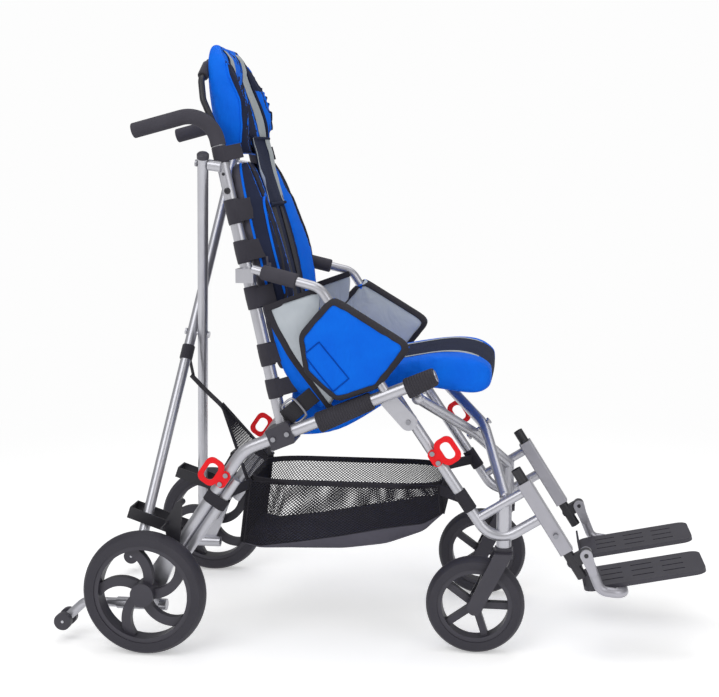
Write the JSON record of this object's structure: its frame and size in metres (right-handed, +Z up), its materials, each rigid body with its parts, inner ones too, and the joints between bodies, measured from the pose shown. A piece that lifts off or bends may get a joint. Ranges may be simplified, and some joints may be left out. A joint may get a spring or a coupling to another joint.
{
  "type": "special needs stroller",
  "caption": "Folding special needs stroller with a padded tilted seat, head support, push canes, scissor braces, casters, footplates and tie-down loops.",
  "frame": {"origin": "on the floor under the middle of the overall box", "axes": "+X forward, the way the child faces; +Y to the child's left; +Z up"},
  "size_m": [1.3246, 0.608, 1.235],
  "materials": {
    "silver_tube": "satin clear-coated tube",
    "black_metal": "satin black powder coat",
    "grey_tube": "satin grey tube",
    "red_steel": "gloss red powder coat",
    "black_foam": "matt closed-cell foam",
    "tyre_rubber": "matt",
    "dark_plastic": "fine-grained",
    "steel": "zinc plated",
    "blue_fabric": "woven coated nylon",
    "navy_fabric": "knitted mesh over foam",
    "grey_fabric": "mesh"
  },
  "bodies": {
    "right_frame": {"right_side_tube": "silver_tube", "right_cane": "silver_tube", "right_grip": "black_foam", "right_cane_clamp": "dark_plastic", "right_front_leg": "silver_tube", "right_leg_bracket": "silver_tube", "right_footrest_sleeve": "grey_tube", "right_axle_plate": "silver_tube", "right_tie_downs": "red_steel", "right_armrest": "silver_tube", "right_arm_pad": "black_foam", "right_wing": "blue_fabric", "right_fasteners": "steel", "head_rod": "black_metal", "seat_pad": "blue_fabric", "back_pad": "navy_fabric", "head_pad": "navy_fabric", "basket": "grey_fabric"},
    "left_frame": {"left_side_tube": "silver_tube", "left_cane": "silver_tube", "left_grip": "black_foam", "left_cane_clamp": "dark_plastic", "left_front_leg": "silver_tube", "left_leg_bracket": "silver_tube", "left_footrest_sleeve": "grey_tube", "left_axle_plate": "silver_tube", "left_tie_downs": "red_steel", "left_armrest": "silver_tube", "left_arm_pad": "black_foam", "left_wing": "blue_fabric", "left_fasteners": "steel"},
    "rear_brace_a": {"rear_brace_a": "silver_tube"},
    "rear_brace_b": {"rear_brace_b": "silver_tube"},
    "front_brace_d": {"front_brace_d": "silver_tube"},
    "front_brace_c": {"front_brace_c": "silver_tube"},
    "right_rear_link_body": {"right_rear_link": "black_metal"},
    "right_rear_wheel": {"right_rear_tyre": "tyre_rubber", "right_rear_rim": "dark_plastic"},
    "right_caster": {"right_caster_fork": "dark_plastic"},
    "right_front_wheel": {"right_front_tyre": "tyre_rubber", "right_front_rim": "dark_plastic"},
    "right_brake": {"right_brake_lever": "black_metal"},
    "right_guard": {"right_antitip_bar": "silver_tube"},
    "right_guard_rollers": {"right_antitip_rollers": "dark_plastic"},
    "right_footrest": {"right_footrest_tube": "grey_tube"},
    "right_foot": {"right_foot_arm": "grey_tube", "right_footplate": "dark_plastic"},
    "left_rear_link_body": {"left_rear_link": "black_metal"},
    "left_rear_wheel": {"left_rear_tyre": "tyre_rubber", "left_rear_rim": "dark_plastic"},
    "left_caster": {"left_caster_fork": "dark_plastic"},
    "left_front_wheel": {"left_front_tyre": "tyre_rubber", "left_front_rim": "dark_plastic"},
    "left_brake": {"left_brake_lever": "black_metal"},
    "left_guard": {"left_antitip_bar": "silver_tube"},
    "left_guard_rollers": {"left_antitip_rollers": "dark_plastic"},
    "left_footrest": {"left_footrest_tube": "grey_tube"},
    "left_foot": {"left_foot_arm": "grey_tube", "left_footplate": "dark_plastic"}
  },
  "joints": [
    {"name": "fold", "type": "hinge", "parent": "right_frame", "child": "rear_brace_a", "pos_m": [-0.35926, -0.18, 0.985], "axis": [-0.9894, 0, 0.1452], "range_deg": [0, 11.2], "deforming": ["seat_pad", "back_pad", "head_pad", "basket"]},
    {"name": "rear_cross", "type": "hinge", "parent": "rear_brace_a", "child": "rear_brace_b", "pos_m": [-0.41276, 0, 0.6205], "axis": [-0.9894, 0, 0.1452], "range_deg": [-22.45, 0]},
    {"name": "left_cane_pivot", "type": "hinge", "parent": "rear_brace_b", "child": "left_frame", "pos_m": [-0.35926, 0.18, 0.985], "axis": [-0.9894, 0, 0.1452], "range_deg": [0, 11.25]},
    {"name": "right_link_pivot", "type": "hinge", "parent": "right_frame", "child": "right_rear_link_body", "pos_m": [-0.38667, -0.18, 0.22902], "axis": [0, -1, 0], "range_deg": [0, 36.5]},
    {"name": "left_link_pivot", "type": "hinge", "parent": "left_frame", "child": "left_rear_link_body", "pos_m": [-0.38667, 0.18, 0.22902], "axis": [0, -1, 0], "range_deg": [0, 36.5]},
    {"name": "front_stud", "type": "hinge", "parent": "right_frame", "child": "front_brace_d", "pos_m": [0.26174, -0.155, 0.318], "axis": [0.7574, 0, 0.6529], "range_deg": [0, 27.55]},
    {"name": "front_cross", "type": "hinge", "parent": "front_brace_d", "child": "front_brace_c", "pos_m": [0.20174, 0, 0.425], "axis": [0.7574, 0, 0.6529], "range_deg": [-60.6, 0]},
    {"name": "right_rear_spin", "type": "hinge", "parent": "right_frame", "child": "right_rear_wheel", "pos_m": [-0.45626, -0.28, 0.127], "axis": [0, 1, 0], "continuous": true},
    {"name": "right_swivel", "type": "hinge", "parent": "right_frame", "child": "right_caster", "pos_m": [0.26074, -0.184, 0.222], "axis": [0, 0, 1], "continuous": true},
    {"name": "right_front_spin", "type": "hinge", "parent": "right_caster", "child": "right_front_wheel", "pos_m": [0.20474, -0.184, 0.1], "axis": [0, 1, 0], "continuous": true},
    {"name": "right_brake_pivot", "type": "hinge", "parent": "right_frame", "child": "right_brake", "pos_m": [-0.40424, -0.2465, 0.21498], "axis": [0, -1, 0], "range_deg": [0, 21]},
    {"name": "right_guard_turn", "type": "hinge", "parent": "right_frame", "child": "right_guard", "pos_m": [-0.47626, -0.228, 0.084], "axis": [1, 0, 0], "range_deg": [0, 180]},
    {"name": "right_roller_spin", "type": "hinge", "parent": "right_guard", "child": "right_guard_rollers", "pos_m": [-0.64426, -0.228, 0.044], "axis": [0, 1, 0], "continuous": true},
    {"name": "right_footrest_slide", "type": "slide", "parent": "right_frame", "child": "right_footrest", "axis": [-0.5329, 0, 0.8462], "range_m": [-0.06, 0]},
    {"name": "left_rear_spin", "type": "hinge", "parent": "left_frame", "child": "left_rear_wheel", "pos_m": [-0.45626, 0.28, 0.127], "axis": [0, 1, 0], "continuous": true},
    {"name": "left_swivel", "type": "hinge", "parent": "left_frame", "child": "left_caster", "pos_m": [0.26074, 0.184, 0.222], "axis": [0, 0, 1], "continuous": true},
    {"name": "left_front_spin", "type": "hinge", "parent": "left_caster", "child": "left_front_wheel", "pos_m": [0.20474, 0.184, 0.1], "axis": [0, 1, 0], "continuous": true},
    {"name": "left_brake_pivot", "type": "hinge", "parent": "left_frame", "child": "left_brake", "pos_m": [-0.40424, 0.2465, 0.21498], "axis": [0, -1, 0], "range_deg": [0, 21]},
    {"name": "left_guard_turn", "type": "hinge", "parent": "left_frame", "child": "left_guard", "pos_m": [-0.47626, 0.228, 0.084], "axis": [-1, 0, 0], "range_deg": [0, 180]},
    {"name": "left_roller_spin", "type": "hinge", "parent": "left_guard", "child": "left_guard_rollers", "pos_m": [-0.64426, 0.228, 0.044], "axis": [0, 1, 0], "continuous": true},
    {"name": "left_footrest_slide", "type": "slide", "parent": "left_frame", "child": "left_footrest", "axis": [-0.5329, 0, 0.8462], "range_m": [-0.06, 0]},
    {"name": "right_foot_flip", "type": "hinge", "parent": "right_footrest", "child": "right_foot", "pos_m": [0.42359, -0.192, 0.21488], "axis": [0, 1, 0], "range_deg": [-90, 0]},
    {"name": "left_foot_flip", "type": "hinge", "parent": "left_footrest", "child": "left_foot", "pos_m": [0.42359, 0.192, 0.21488], "axis": [0, -1, 0], "range_deg": [0, 120.1]}
  ],
  "couplings": [
    {"joint": "rear_cross", "follows": "fold", "ratio": -2},
    {"joint": "left_cane_pivot", "follows": "fold", "ratio": 1},
    {"joint": "right_link_pivot", "follows": "fold", "ratio": 3.2545},
    {"joint": "left_link_pivot", "follows": "fold", "ratio": 3.2545},
    {"joint": "front_stud", "follows": "fold", "ratio": 2.4554},
    {"joint": "front_cross", "follows": "fold", "ratio": -5.4018},
    {"joint": "left_foot_flip", "follows": "fold", "ratio": 10.714}
  ]
}
